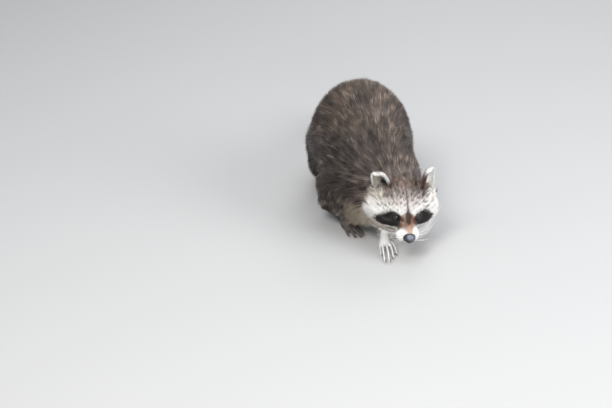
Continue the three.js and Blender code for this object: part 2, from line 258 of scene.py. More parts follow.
def with_modifier(mesh, kind, chosen=None, **settings):
    """The mesh as one modifier leaves it, all over or where the chosen vertices are."""
    piece = new_object("work", mesh)
    modifier = piece.modifiers.new("work", kind)
    for key, value in settings.items():
        setattr(modifier, key, value)
    if chosen is not None:
        group = piece.vertex_groups.new(name="chosen")
        group.add(np.flatnonzero(chosen).tolist(), 1.0, "REPLACE")
        modifier.vertex_group = group.name
    graph = bpy.context.evaluated_depsgraph_get()
    made = bpy.data.meshes.new_from_object(piece.evaluated_get(graph))
    bpy.data.objects.remove(piece)
    return made


def remeshed(mesh, voxel):
    return with_modifier(mesh, "REMESH", mode="VOXEL", voxel_size=voxel)


class Net:
    """The edges of a mesh, which carry values from vertex to vertex."""

    def __init__(self, mesh):
        pairs = read(mesh.edges, "vertices", 2, np.int32)
        self.a, self.b = pairs.T
        self.count = len(mesh.vertices)
        self.degree = np.maximum(np.bincount(pairs.ravel(), minlength=self.count), 1)

    def mean(self, values):
        if values.ndim == 2:
            return np.stack([self.mean(column) for column in values.T], axis=1)
        total = np.bincount(self.a, values[self.b], self.count)
        total += np.bincount(self.b, values[self.a], self.count)
        return total / self.degree

    def spread(self, values, rounds, share=0.5):
        """share is how far each round goes towards the neighbours, and may differ by vertex."""
        for _ in range(rounds):
            values = mix(values, self.mean(values), share)
        return values


def tree_of(points, triangles):
    return BVHTree.FromPolygons(points.tolist(), triangles.tolist())


def nearest(tree, points):
    """Nearest place, normal and face number on a BVH tree for each point."""
    found = [tree.find_nearest(p) for p in points.tolist()]
    return tuple(np.array([f[i] for f in found]) for i in range(3))


# ------------------------ colours
def tone(red, green, blue):
    """Linear colour of an sRGB one given in 0 to 255."""
    s = np.array((red, green, blue)) / 255
    return np.where(s <= 0.04045, s / 12.92, ((s + 0.055) / 1.055) ** 2.4)


WHITE = tone(246, 243, 238)
CREAM = tone(228, 216, 198)
BLACK = tone(24, 21, 21)
MASK = tone(38, 33, 32)
UNDERFUR = tone(60, 52, 47)
BODY = tone(67, 59, 58)
BACK = tone(76, 60, 49)
GUARD_DARK = tone(26, 21, 19)
GUARD_PALE = tone(164, 149, 134)
BELLY = tone(112, 99, 87)
BROW = tone(226, 220, 215)
FOREHEAD = tone(192, 180, 174)
CROWN = tone(110, 91, 82)
FLECK = tone(52, 40, 36)
STRIPE = tone(54, 39, 32)
RUST = tone(118, 70, 40)
TAN = tone(198, 166, 140)
THROAT = tone(206, 190, 166)
TAIL_PALE = tone(162, 146, 129)
TAIL_DARK = tone(42, 36, 32)
EAR_FOOT = tone(88, 58, 42)
EAR_INSIDE = tone(168, 162, 146)
# a dark colour painted as the shade inside an ear's opening
EAR_OPENING_SHADE = tone(36, 30, 27)
HAND_WHITE = tone(250, 248, 244)
# The right forepaw's grey is painted shade; the hind paws are mixed most of the way towards the
# same grey.
PAW_GREY_AND_SHADE = tone(104, 96, 90)
BARE_SKIN = tone(58, 49, 46)
EYE_BALL, IRIS, PUPIL = tone(40, 32, 30), tone(44, 27, 17), tone(4, 4, 5)
# the second leather colour is a painted highlight, a blue-grey reflection on the top of the nose
LEATHER, LEATHER_PAINTED_HIGHLIGHT = tone(30, 29, 31), tone(84, 91, 104)
CLAW_ROOT, CLAW_TIP = tone(104, 88, 82), tone(190, 174, 162)

# ------------------------ zones of the coat
FLESH = sorted(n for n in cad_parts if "claw" not in n and "eye" not in n and n != "nose")
EYES = ["eye_left", "eye_right"]
UNDER_SKIN = FLESH + EYES + ["nose"]  # the skin closes behind the eyes and the nose
LIMBS = ["fore_left", "fore_right", "hind_left", "hind_right"]

# For each zone: depth of the coat over the skin, length and width of its hair, how far its tips
# may stand out over the solids (all in mm) and hairs per cm2. The head's and the ears' own
# numbers are worked out below.
ZONES = {
    "head": (8, 10, 0.5, 0, 100),
    "ear": (0.8, 5, 0.4, 0.5, 260),
    "neck": (14, 34, 0.9, 2, 105),
    "trunk": (15, 38, 1.0, 2.5, 98),
    "tail": (14, 29, 0.95, 3, 115),
    "upper": (10, 27, 0.85, 2, 74),
    "lower": (5.5, 15, 0.7, 1, 100),
    "paw": (0.6, 2.2, 0.3, 0, 250),
}
HIND_FOOT_HAIR = np.array((5.5, 0.45, 0.8))  # length, width and standing out, in mm
INSTEP = (11 * MM, 19 * MM)  # heights between which a hind foot's hair grows longer
THROAT_HANG = 10  # mm that the hair under the neck stands out over the solids
FACE_BACK = 55  # mm behind the nose: the face's own numbers are kept in front of this
EVEN_ROUNDS = 50  # rounds of spreading that even the numbers out where zones meet


def zone_of(node):
    if node.startswith("ear"):
        return "ear"
    if node in EYES or node == "nose":
        return "head"
    if node.startswith("tail"):
        return "tail"
    return node.rsplit("_", 1)[-1]


def near_ears(local):
    """1 round the roots of the ears and 0 well away from them."""
    x, y, z = mirrored(local)
    off = np.hypot(x - by_side(local, EAR_APART), y - EAR_ROOT[1])
    return smooth(36, 22, off) * smooth(8, 20, z)


def head_coat(local):
    """The same numbers on the head, from the place in its frame."""
    x, y, z = mirrored(local)
    left = smooth(-10, 10, local[:, 0])
    back = smooth(38, 84, y)
    side = smooth(34, 62, x) * smooth(50, 80, y)
    below = smooth(-8, -22, z) * smooth(42, 66, y)
    by_ear = near_ears(local)
    depth = 1.2 + 4.5 * back + 5 * side + 6 * below
    length = 1.6 + 1.4 * smooth(12, 26, y) + 9 * back + mix(7, 14, left) * side
    length += 15 * below + 5 * by_ear - 1.2 * near_mouth(local, 3)
    width = 0.3 + 0.03 * (length - 2)
    stand = 0.5 * back + mix(0.5, 6, left) * side * smooth(118, 100, y)
    stand += mix(13, 4, left) * below + 2.5 * by_ear * smooth(116, 100, y)
    count = 420 - 290 * smooth(3, 18, length) + 120 * by_ear
    return np.stack([depth, length, width, stand, count], axis=1)


def ear_place(local, facing, side_name):
    """On an ear: outward and upward place, share of the way to the rim, and if it is inside."""
    root, axes = ear_frame(side_name)
    x, _, z = ((local - root) @ axes).T
    top = EAR_HALF_WIDTH * EAR_TAPER
    half = mix(EAR_HALF_WIDTH, top, np.clip(z / (EAR_HEIGHT - top), 0, 1))
    reach = np.hypot(x, np.maximum(z - (EAR_HEIGHT - top), 0)) / half
    return x * SIDES[side_name], z, reach, smooth(0.1, -0.4, facing @ axes[:, 1])


def ear_coat(local, facing):
    """The same numbers on the ears: hair is longest inside, near the outer edge."""
    coat = np.tile(ZONES["ear"], (len(local), 1))
    for side_name, side in SIDES.items():
        own = local[:, 0] * side > 0
        outward, z, reach, inside = ear_place(local[own], facing[own], side_name)
        tuft = inside * smooth(-2, 8, outward) * smooth(0.95, 0.8, reach)
        rim = smooth(0.7, 1.0, reach) * smooth(10, 26, z)
        coat[own, 1] = 3.4 + 4.5 * tuft + 1.8 * rim
        coat[own, 3] = 0.5 + 2.5 * tuft
    return coat


def coat_fields(points, normals, zone, net):
    """The numbers of the coat at each vertex, evened out where zones meet."""
    coat = np.array([ZONES[name] for name in zone.tolist()], float)
    on_head = zone == "head"
    coat[on_head] = head_coat(in_head(points[on_head]))
    on_neck = zone == "neck"
    coat[on_neck, 3] += THROAT_HANG * smooth(0.2, -0.5, normals[on_neck, 2])
    on_ear = zone == "ear"
    coat[on_ear] = ear_coat(in_head(points[on_ear]), normals[on_ear] @ HEAD_TURN)
    on_paw = zone == "paw"
    coat[on_paw, 0] *= smooth(-0.9, -0.3, normals[on_paw, 2])
    hind = on_paw & (points[:, 1] > middle("trunk")[1])
    coat[hind, 1:4] = mix(coat[hind, 1:4], HIND_FOOT_HAIR, smooth(*INSTEP, points[hind, 2]))
    fixed = on_paw | on_ear | (on_head & (in_head(points)[:, 1] < FACE_BACK))
    fixed = net.spread(fixed.astype(float), 4)
    return net.spread(coat, EVEN_ROUNDS, 0.5 * (1 - smooth(0.3, 0.9, fixed)))


# ------------------------ eyelids, mouth, nose
LID_AXIS = unit(np.array((0.14, -0.93, 0.30)))  # the way the left eye looks
OUTER_CORNER = np.array((0.90, 0.20, 0.12))
LID_OUTER = unit(OUTER_CORNER - LID_AXIS * (OUTER_CORNER @ LID_AXIS))
LID_UP = np.cross(LID_OUTER, LID_AXIS) * -1
LID_HALF_WIDTH = 0.74  # of the opening, as a share of the eye's radius
LID_HALF_HEIGHT = 0.50
LID_SQUARE = 1.7  # shape of the opening: 2 would be an ellipse, 1 a diamond
LID_THICK = 0.9
LID_EDGE = 0.5  # how much thicker the lids are along the opening
LID_SUNK = 1.6  # the skin lies this far inside the eye where the eye shows
LID_REACH = 8  # how far over the eye the lids change the skin
NOT_A_LID = 9


def lid_place(local, side):
    """How far a point is from the middle of an eye's opening: 1 is the rim of the lids."""
    from_eye = local * (side, 1, 1) - EYE
    way = unit(from_eye)
    across = np.abs(way @ LID_OUTER) / LID_HALF_WIDTH
    upward = np.abs(way @ LID_UP) / LID_HALF_HEIGHT
    ring = (across**LID_SQUARE + upward**LID_SQUARE) ** (1 / LID_SQUARE)
    far = size_of(from_eye)
    seen = (way @ LID_AXIS > 0) & (far < EYE_RADIUS + LID_REACH)
    return np.where(seen, ring, NOT_A_LID), far, way


def with_lids(local):
    """Skin shaped over both eyes, with an opening in front of each."""
    closed = EYE_RADIUS + LID_THICK
    for side in SIDES.values():
        ring, far, way = lid_place(local, side)
        lid = closed + LID_EDGE * smooth(1.5, 1.25, ring) * smooth(1.0, 1.2, ring)
        rim = mix(EYE_RADIUS - LID_SUNK, lid, smooth(0.93, 1.05, ring))
        over = mix(rim, np.maximum(far, closed), smooth(1.4, 2.3, ring))
        near = ring < NOT_A_LID
        fade = smooth(EYE_RADIUS + 4, EYE_RADIUS + LID_REACH, far)
        far = np.where(near, mix(over, far, fade), far)
        behind = ~near & (far < closed)
        far = np.where(behind, closed, far)
        shaped = (EYE + way * far[:, None]) * (side, 1, 1)
        local = np.where((near | behind)[:, None], shaped, local)
    return local


MOUTH_CORNER = 42  # how far behind the nose the mouth ends
MOUTH_HEIGHT = -12.2
MOUTH_SWING = 2  # how far the line between the lips bends down on its way back
MOUTH_DEPTH = 1.8
LIP = 1.2
CHIN_BACK = 3  # how far the lower lip is set back behind the upper one
LEFT_LIP_SLIM = 2.2  # how much narrower the left side of the muzzle is


def mouth_line(y):
    """Height of the line between the lips, by the distance behind the tip of the nose."""
    return MOUTH_HEIGHT - MOUTH_SWING * np.sin(np.clip(y / MOUTH_CORNER, 0, 1.1) * 2.6)


def near_mouth(local, reach):
    """1 on the line between the lips and 0 some way off it."""
    off = np.abs(local[:, 2] - mouth_line(local[:, 1])) / reach
    return np.exp(-off * off) * smooth(MOUTH_CORNER + 3, MOUTH_CORNER - 14, local[:, 1])


def with_mouth(local, normals):
    groove = near_mouth(local, LIP) * smooth(0.5, 0.0, normals[:, 2])
    local = local - normals * (groove * MOUTH_DEPTH)[:, None]
    slim = smooth(4, 13, local[:, 0]) * smooth(30, 18, local[:, 1]) * smooth(5, -5, local[:, 2])
    local[:, 0] -= LEFT_LIP_SLIM * slim
    local[:, 1] += CHIN_BACK * smooth(-8, -13, local[:, 2]) * smooth(17, 6, local[:, 1])
    return local


NOSE_MIDDLE = np.array((0, 5, -1.5))
NOSE_REACH = (12.6, 10.6, 10.4)
NOSE_SUNK = 4.5  # the skin lies this far back behind the nose's leather


def from_nose(local):
    """Less than 1 under the leather of the nose."""
    return size_of((local - NOSE_MIDDLE) / NOSE_REACH)


# ------------------------ skin
VOXEL = 1.5 * MM
SKIN_KEPT = 0.36  # share of the faces that is kept: the others go where the coat hides them
LIMB_ROUNDS = 90  # rounds of spreading that even out the joins of the limbs
SHRINK_STEPS = 8


def shrink(points, mesh, net, depth):
    """Moves the outside of the coat in to the skin, a little at a time so that it stays even."""
    ease = smooth(3 * MM, 7 * MM, depth) * 0.5
    for _ in range(SHRINK_STEPS):
        set_points(mesh, points)
        points = points - normals_of(mesh) * (depth / SHRINK_STEPS)[:, None]
        points = net.spread(points, 2, ease)
    return points


def build_skin():
    solids, node_numbers = joined(UNDER_SKIN)
    mesh = remeshed(solids, VOXEL)
    net = Net(mesh)
    outside = points_of(mesh)
    solid_tree = tree_of(points_of(solids), triangles_of(solids))
    number = node_numbers[nearest(solid_tree, outside)[2]]
    owner = np.array(UNDER_SKIN)[number]
    zone = np.array([zone_of(node) for node in UNDER_SKIN])[number]
    on_limb = net.spread(np.isin(zone, ["upper", "lower"]).astype(float), 12)
    outside = net.spread(net.spread(outside, 3), LIMB_ROUNDS, 0.5 * smooth(0.3, 0.8, on_limb))
    set_points(mesh, outside)

    coat = coat_fields(outside, normals_of(mesh), zone, net)
    inside = shrink(outside, mesh, net, coat[:, 0] * MM)
    set_points(mesh, inside)
    cover = size_of(outside - inside)

    shown = np.isin(zone, ["head", "ear", "paw"])
    hidden = net.spread(1.0 - shown, 3) > 0.5
    thinned = finer_face(with_modifier(mesh, "DECIMATE", hidden, ratio=SKIN_KEPT))
    triangles = triangles_of(mesh)
    source = triangles[nearest(tree_of(inside, triangles), points_of(thinned))[2], 0]
    return finish_skin(thinned, zone[source], owner[source], cover[source], outside[source])


def finer_face(mesh):
    """Splits the faces round the eyes and along the mouth."""
    build = bmesh.new()
    build.from_mesh(mesh)
    local = in_head(points_of(mesh))
    close = (local[:, 1] > -2) & (near_mouth(local, LIP) > 0.02)
    for side in SIDES.values():
        close |= size_of(local - EYE * (side, 1, 1)) < EYE_RADIUS + 7
    edges = [e for e in build.edges if close[e.verts[0].index] and close[e.verts[1].index]]
    bmesh.ops.subdivide_edges(build, edges=edges, cuts=1, use_grid_fill=True, smooth=0)
    bmesh.ops.triangulate(build, faces=[f for f in build.faces if len(f.verts) > 4])
    return finished(build, "skin")


def finish_skin(mesh, zone, owner, cover, outside):
    """Shapes lids, lips and the bed of the nose, and gathers all that the coat needs."""
    net = Net(mesh)
    points = points_of(mesh)
    local = in_head(points)
    shaped = with_mouth(with_lids(local), normals_of(mesh) @ HEAD_TURN)
    shaped[:, 1] += NOSE_SUNK * smooth(1.0, 0.8, from_nose(local))
    points = np.where((zone == "head")[:, None], from_head(shaped), points)
    set_points(mesh, points)

    skin = SimpleNamespace(mesh=mesh, net=net, zone=zone, owner=owner, points=points,
                           normals=normals_of(mesh), triangles=triangles_of(mesh),
                           local=in_head(points), cover=net.spread(cover, 6))
    skin.coat = coat_fields(outside, skin.normals, zone, net)
    skin.flow = flow_field(skin)
    return skin


# ------------------------ the lie of the coat
def path_direction(points, path):
    """Direction of a line of points at the place nearest to each point, and how far along."""
    path = np.asarray(path)
    legs = path[1:] - path[:-1]
    lengths = size_of(legs)
    starts = np.concatenate([[0], np.cumsum(lengths)])[:-1]
    best = np.full(len(points), np.inf)
    way = np.zeros_like(points)
    along = np.zeros(len(points))
    for start, leg, length, before in zip(path[:-1], legs, lengths, starts):
        t = np.clip((points - start) @ leg / length**2, 0, 1)
        off = size_of(points - (start + t[:, None] * leg))
        closer = off < best
        best[closer] = off[closer]
        way[closer] = leg / length
        along[closer] = (before + t * length)[closer]
    return way, along / lengths.sum()


BODY_PATH = [middle(node) for node in ("head", "neck", "trunk", "tail_root")]
TAIL_PATH = [middle(node) for node in ("trunk", "tail_root", "tail_middle", "tail_tip")]
TAIL_PATH.append(TAIL_PATH[-1] + (TAIL_PATH[-1] - TAIL_PATH[-2]) * 0.6)
HAIR_SOURCE = np.array((0, -16, -4))  # hair on the head runs away from this point
SHOULDER_WAY = np.array((0, 0.9, -0.5))  # backwards and down
FLANK_FALL = 0.55  # how much hair on the flanks turns down
THROAT_FALL = 0.7
FLOW_ROUNDS = 24  # rounds of spreading that even out the lie of the hair


def claws_of(limb):
    return [f"{limb}_claw_{i}" for i in range(1, 6)]


def limb_path(limb):
    toes = np.mean([middle(claw) for claw in claws_of(limb)], axis=0)
    return [middle(f"{limb}_{part}") for part in ("upper", "lower", "paw")] + [toes]


def flow_field(skin):
    """The way the hair lies along the skin at each vertex."""
    way = np.zeros_like(skin.points)
    on_body = np.isin(skin.owner, ["neck", "trunk"])
    way[on_body] = path_direction(skin.points[on_body], BODY_PATH)[0]
    way[:, 2] -= FLANK_FALL * (np.abs(skin.normals[:, 0]) * on_body)
    on_tail = skin.zone == "tail"
    way[on_tail] = path_direction(skin.points[on_tail], TAIL_PATH)[0]
    for limb in LIMBS:
        on_limb = np.char.startswith(skin.owner, limb)
        way[on_limb] = path_direction(skin.points[on_limb], limb_path(limb))[0]
        shoulder = skin.owner == f"{limb}_upper"
        way[shoulder] = mix(way[shoulder], SHOULDER_WAY, 0.5)
    on_head = skin.zone == "head"
    way[on_head] = unit(skin.local[on_head] - HAIR_SOURCE) @ HEAD_TURN.T
    throat = smooth(6, -28, skin.local[:, 2]) * smooth(46, 70, skin.local[:, 1])
    way[:, 2] -= THROAT_FALL * throat * (on_head | (skin.zone == "neck"))
    for side_name in SIDES:
        on_ear = skin.owner == f"ear_{side_name}"
        root, axes = ear_frame(side_name)
        fan = (skin.local[on_ear] - root) @ axes * (1, 0, 0.5) + (0, 0, 14)
        way[on_ear] = fan @ (HEAD_TURN @ axes).T
    way = flat_to(unit(way), skin.normals)
    return unit(flat_to(skin.net.spread(unit(way), FLOW_ROUNDS), skin.normals))


# ------------------------ markings
# Shares run from 0 to 1 between two distances in mm: x from the middle of the face, y behind
# the nose, z up. The lines of the mask and the brow are (x, height) pairs; those of the stripe
# and the rust on the bridge are (y, half width) pairs.
MASK_TOP = {"left": ((9, 20), (15, 23), (22, 22), (28, 20.5), (34, 22), (38, 18.5), (50, 7.5),
                     (56, 1.5), (61, -6)),
            "right": ((9, 20), (15, 24), (24, 24), (34, 19), (42, 13.5), (50, 7), (56, 1),
                      (61, -6))}
MASK_FOOT = {"left": ((9, 16), (13, 9), (20, -2), (28, -8), (36, -7), (44, -6), (54, -9),
                      (61, -10)),
             "right": ((9, 16), (13, 14), (16, 1), (20, -4), (26, -11), (35, -9), (42, -10),
                       (50, -14), (57, -11), (61, -8))}
MASK_END = {"left": 57, "right": 61}
BROW_LINE = ((0, 30), (14, 30), (29, 29.5), (43, 31), (52, 34), (60, 40), (90, 48))
STRIPE_LINE = ((25, 1.5), (29, 4.2), (36, 5.4), (42, 4.8), (47, 2.4), (52, 1.4), (84, 0.9))
RUST_LINE = ((12, 4), (20, 8), (27, 13), (34, 12.5), (41, 11), (44, 6))
RUST_WIDTH = {"left": 1, "right": 1.25}
LEFT_WHITE_FURTHER = 23  # how much further back the white of the left cheek goes


def mask_share(local):
    """1 in the dark mask round the eyes and 0 outside it."""
    x, y, z = mirrored(local)
    top, foot = (by_side(local, {side: along_line(x, line[side]) for side in SIDES})
                 for line in (MASK_TOP, MASK_FOOT))
    edge = smooth(-1.6, 1.6, top - z) * smooth(-1.6, 1.6, z - foot)
    ends = smooth(6, 9, x) * smooth(4, -4, x - by_side(local, MASK_END)) * smooth(80, 70, y)
    return edge * ends * smooth(25, 30, y + 0.25 * (x - 9))


def face_tone(local, points):
    """Colour of the coat on the head."""
    x, y, z = mirrored(local)
    patchy = ripple(points, 9 * MM, 5)
    brow_top = along_line(x, BROW_LINE) + 1.5 * ripple(points, 8 * MM, 6)
    further = LEFT_WHITE_FURTHER * smooth(44, 58, local[:, 0])
    white = smooth(5, -2.5, z - brow_top) * smooth(4.5, 8, x) * smooth(108, 92, y - further)
    throat = smooth(-8, -24, z) * smooth(44, 62, y)
    by_ear = near_ears(local)
    beyond_ear = x - by_side(local, EAR_APART)
    mask = mask_share(local)
    top = smooth(-2, 4, z)
    bridge = smooth(2.5, -1.5, x - mix(4.5, 8, smooth(8, 27, y))) * smooth(40, 30, y)
    reach = along_line(y, RUST_LINE) * by_side(local, RUST_WIDTH)
    rust = smooth(3.5, -2.5, x - reach) * smooth(46, 40, y)
    rust *= smooth(10, 32, y) * (0.8 + 0.2 * patchy)
    stripe = smooth(0.9, -0.6, x - along_line(y, STRIPE_LINE)) * (z > 0)
    return layered(
        BROW,
        (FOREHEAD, smooth(50, 78, y + 5 * patchy)),
        (CROWN, smooth(70, 94, y + 5 * patchy)),
        (BODY, smooth(104, 124, y) * 0.8),
        (WHITE, white * 0.95),
        (THROAT, throat * 0.9),
        (mix(WHITE, CREAM, 0.6), by_ear**2 * smooth(-2, 8, beyond_ear) * 0.9),
        (EAR_FOOT, by_ear * smooth(-4, -14, beyond_ear) * smooth(94, 102, y) * 0.7),
        (MASK, mask),
        (WHITE, smooth(36, 28, y) * (1 - 0.95 * mask)),
        (TAN, bridge * top * 0.9),
        (RUST, rust * top),
        (STRIPE, stripe * smooth(92, 76, y) * smooth(24, 27.5, y) * 0.9),
        (CREAM, smooth(-18, -22, z) * smooth(60, 44, y) * 0.7),
        (MASK, near_mouth(local, 1.6) * smooth(38, 26, y) * 0.85),
    )


EAR_HAIR = {"left": 1.0, "right": 0.0}  # how far white hair hides the inside of the ear
EAR_BACK_WHITE = {"left": (40, 52), "right": (22, 38)}  # heights between which it turns white
EAR_BROWN = {"left": (56, 42), "right": (34, 20)}  # heights between which the brown ends
EAR_BROWN_EDGE = {"left": (0, -7), "right": (-10, -17)}  # and where it starts, outwards


def ear_tone(local, facing, side_name):
    """Colour of an ear: pale rim and inner hair, painted shade at the opening, brown back with a
    paler top.
    """
    outward, z, reach, inside = ear_place(local, facing, side_name)
    brown = mix(RUST, BODY, 0.6)
    high = smooth(*EAR_BACK_WHITE[side_name], z)
    back = layered(
        brown,
        (WHITE, high * 0.9),
        (CREAM, smooth(20, 8, z) * smooth(4, 12, outward) * 0.9),
        (WHITE, smooth(0.6, 0.84, reach) * smooth(0, 0.4, high) * 0.9),
    )
    hair = EAR_HAIR[side_name]
    opening = smooth(15, 8, np.hypot(outward + 8, (z - 18) * 0.7))
    hollow_with_painted_shade = layered(
        EAR_INSIDE,
        (CREAM, smooth(-1, 9, outward)),
        (WHITE, hair * smooth(-16, -6, outward)),
        # painted shade at the ear's opening, where white hair does not hide it
        (EAR_OPENING_SHADE, opening * (1 - hair)),
        (CREAM, smooth(18, 6, z) * smooth(-2, 6, outward) * 0.8),
        (WHITE, smooth(0.5, 0.8, reach) * smooth(0, 10, z)),
    )
    inner_foot = smooth(*EAR_BROWN_EDGE[side_name], outward) * smooth(*EAR_BROWN[side_name], z)
    return layered(back, (hollow_with_painted_shade, inside), (brown, inner_foot))


TAIL_RINGS = 5.4  # pairs of a dark and a pale ring, and parts of one, along the tail
TAIL_START = 1.2  # where in a pair the tail begins, as an angle


def tail_tone(points):
    """Dark rings on a paler tail, with a dark tip."""
    along = path_direction(points, TAIL_PATH[1:])[1]
    rings = np.sin(along * 2 * math.pi * TAIL_RINGS + TAIL_START)
    rings = rings + 0.16 * ripple(points, 14 * MM, 9)
    return layered(
        TAIL_PALE,
        (TAIL_DARK, smooth(0.0, 0.35, rings)),
        (TAIL_DARK, smooth(0.86, 0.93, along)),
    )


def body_tone(points, normals):
    """Browner on top of the back, paler underneath, and painted shade low on the flanks."""
    top = smooth(0.35, 0.9, normals[:, 2]) * smooth(0.12, 0.2, points[:, 2])
    under = smooth(-0.2, -0.8, normals[:, 2])
    patches = 0.2 * ripple(points, 45 * MM, 11) + 0.18 * ripple(points, 17 * MM, 13)
    # patches holds random patches of tone, and below this painted shade that darkens the coat low
    # on the body, near the floor
    patches -= 0.3 * smooth(0.17, 0.08, points[:, 2])
    return layered(BODY, (BACK, top * 0.9), (BELLY, under * 0.8)) * (1 + patches)[:, None]


PAW_REACH = {"fore": 0.042, "hind": 0.04}  # from a paw's middle to where its colour ends
PAW_FADE = 0.035
HIND_PAW_GREY = 0.82
SOLE_TOP = 13 * MM  # bare skin under the feet ends at this height


def paw_tone(points, owner):
    # The right forepaw and its wrist are painted grey as shade.
    shaded_paw = np.isin(owner, ["fore_right_paw", "fore_right_lower"])
    colour = np.where(shaded_paw[:, None], PAW_GREY_AND_SHADE, HAND_WHITE)
    hind = np.char.startswith(owner, "hind")
    colour = np.where(hind[:, None], mix(HAND_WHITE, PAW_GREY_AND_SHADE, HIND_PAW_GREY), colour)
    return colour * (1 + 0.06 * ripple(points, 12 * MM, 12))[:, None]


def coat_tone(points, normals, zone, owner):
    """Visible colour of the coat at places on it."""
    local = in_head(points)
    colour = body_tone(points, normals)
    head = zone == "head"
    colour[head] = face_tone(local[head], points[head])
    front = smooth(150, 96, local[:, 1]) * (zone == "neck")
    throat = smooth(-14, -34, local[:, 2]) * smooth(150, 110, local[:, 1])
    colour = layered(colour, (CROWN, front * 0.4), (THROAT, throat * ~head * 0.8))
    tail = zone == "tail"
    colour[tail] = tail_tone(points[tail])
    foot = paw_tone(points, owner)
    colour[zone == "paw"] = foot[zone == "paw"]
    for limb in LIMBS:
        from_paw = size_of(points - middle(f"{limb}_paw"))
        reach = PAW_REACH[limb[:4]]
        cuff = smooth(reach + PAW_FADE, reach, from_paw) * (owner == f"{limb}_lower")
        colour = mix(colour, foot, cuff)
    for side_name in SIDES:
        ear = owner == f"ear_{side_name}"
        colour[ear] = ear_tone(local[ear], normals[ear] @ HEAD_TURN, side_name)
    return colour


SKIN_DARKER = 0.6


def skin_tone(skin):
    """The coat's markings on the skin, with bare lids, lips and soles."""
    bare = near_mouth(skin.local, LIP)
    bare = np.maximum(bare, smooth(1.02, 0.94, from_nose(skin.local)))
    for side in SIDES.values():
        bare = np.maximum(bare, smooth(1.3, 1.18, lid_place(skin.local, side)[0]))
    sole = smooth(-0.3, -0.7, skin.normals[:, 2])
    sole = sole * smooth(SOLE_TOP, SOLE_TOP - 4 * MM, skin.points[:, 2])
    return layered(
        coat_tone(skin.points, skin.normals, skin.zone, skin.owner) * SKIN_DARKER,
        (BLACK, bare * (skin.zone == "head")),
        (BARE_SKIN, sole * (skin.zone == "paw")),
    )


# ------------------------ where hairs grow
def roots_at(skin, chosen, spots):
    """Where hairs grow, as arrays, blended from the corners of the chosen triangles."""
    corners = skin.triangles[chosen]

    def blend(values):
        return (values[corners] * spots[..., None]).sum(axis=1)

    points, normals = blend(skin.points), unit(blend(skin.normals))
    return SimpleNamespace(points=points, normals=normals, local=in_head(points),
                           flow=unit(flat_to(blend(skin.flow), normals)), coat=blend(skin.coat),
                           cover=blend(skin.cover[:, None])[:, 0],
                           zone=skin.zone[corners[:, 0]], owner=skin.owner[corners[:, 0]])


def picked(roots, keep):
    return SimpleNamespace(**{key: values[keep] for key, values in vars(roots).items()})


def scatter(skin):
    """Roots all over the skin, as close as the coat's numbers say."""
    corners = skin.points[skin.triangles]
    cross = np.cross(corners[:, 1] - corners[:, 0], corners[:, 2] - corners[:, 0])
    weight = size_of(cross) / 2 / CM2 * skin.coat[skin.triangles[:, 0], 4]
    total = int(weight.sum())
    chosen = np.searchsorted(np.cumsum(weight) / weight.sum(), rng.random(total))
    a, b = rng.random((2, total))
    fold = a + b > 1
    a[fold], b[fold] = 1 - a[fold], 1 - b[fold]
    spots = np.stack([1 - a - b, a, b], axis=1)
    roots = roots_at(skin, np.minimum(chosen, len(weight) - 1), spots)
    return picked(roots, ~is_bare(roots))


FLOOR_BARE = 1.5 * MM  # nothing grows lower than this


def is_bare(roots):
    """Places with no hair: the eyes and lids, the lips, behind the nose, and the soles."""
    steep = (roots.normals @ HEAD_TURN)[:, 2] > -0.8
    bare = (near_mouth(roots.local, LIP) > 0.5) & steep
    for side in SIDES.values():
        bare |= lid_place(roots.local, side)[0] < 1.2
    bare |= from_nose(roots.local) < 1
    sole = (roots.normals[:, 2] < -0.45) & (roots.points[:, 2] < SOLE_TOP)
    low = roots.points[:, 2] < FLOOR_BARE
    return (roots.zone == "head") & bare | (roots.zone == "paw") & sole | low


LONG_HAIR = 6.0  # mm: the head's short hair is a piece of its own


def piece_names(roots):
    """The name of the coat piece that each root belongs to."""
    half = middle("trunk")
    side = np.where(roots.points[:, 0] > half[0], "_left", "_right")
    trunk = np.where(roots.points[:, 1] > half[1], "coat_trunk_hind", "coat_trunk_fore")
    cheek = np.where(roots.local[:, 0] > 0, "coat_cheek_left", "coat_cheek_right")
    limb = np.where(np.char.startswith(roots.owner, "hind"), "coat_hind", "coat_fore")
    legs = np.char.add(limb, "_legs")
    pieces = {"head": np.where(roots.coat[:, 1] > LONG_HAIR, cheek, "coat_face"),
              "neck": "coat_neck", "trunk": np.char.add(trunk, side), "ear": "coat_ear",
              "tail": "coat_tail", "upper": legs, "lower": legs,
              "paw": np.char.add(limb, "_paws")}
    return np.select([roots.zone == zone for zone in pieces], list(pieces.values()), "")


# ------------------------ hairs
CLUMP = 34  # hairs that lean towards one place
CLUMPING = 0.5  # how far long hairs lean
LENGTHS = (0.72, 1.15)  # shortest and longest, as a share of the length for the place
STRAY = 0.14  # how far single hairs leave the lie of the coat
RISES = (0.55, 1.05)  # lowest and highest tip of a hair, as a share of the coat's depth
CLUMP_RISES = (0.85, 1.1)  # and how clumps differ
TIP_CLEAR = 0.25 * MM  # least height of a tip over the skin
STANDING = 0.16  # how much a short hair stands up, as a share of its length
FOLD_SHORTER = 0.5  # how much shorter hair is where the body folds
FLOOR_CLEAR = 0.6 * MM
ROOT_SUNK = 0.5 * MM


def leaders_of(roots):
    """For each hair, the number of the hair at the middle of its clump."""
    count = len(roots.points)
    leaders = rng.choice(count, max(1, count // CLUMP), replace=False)
    tree = KDTree(len(leaders))
    for number, leader in enumerate(leaders.tolist()):
        tree.insert(roots.points[leader], number)
    tree.balance()
    return np.array([leaders[tree.find(p)[1]] for p in roots.points.tolist()])


def long_share(roots):
    """1 for long hair and 0 for short hair, by its place."""
    return smooth(5, 9, roots.coat[:, 1]) * (roots.zone != "ear")


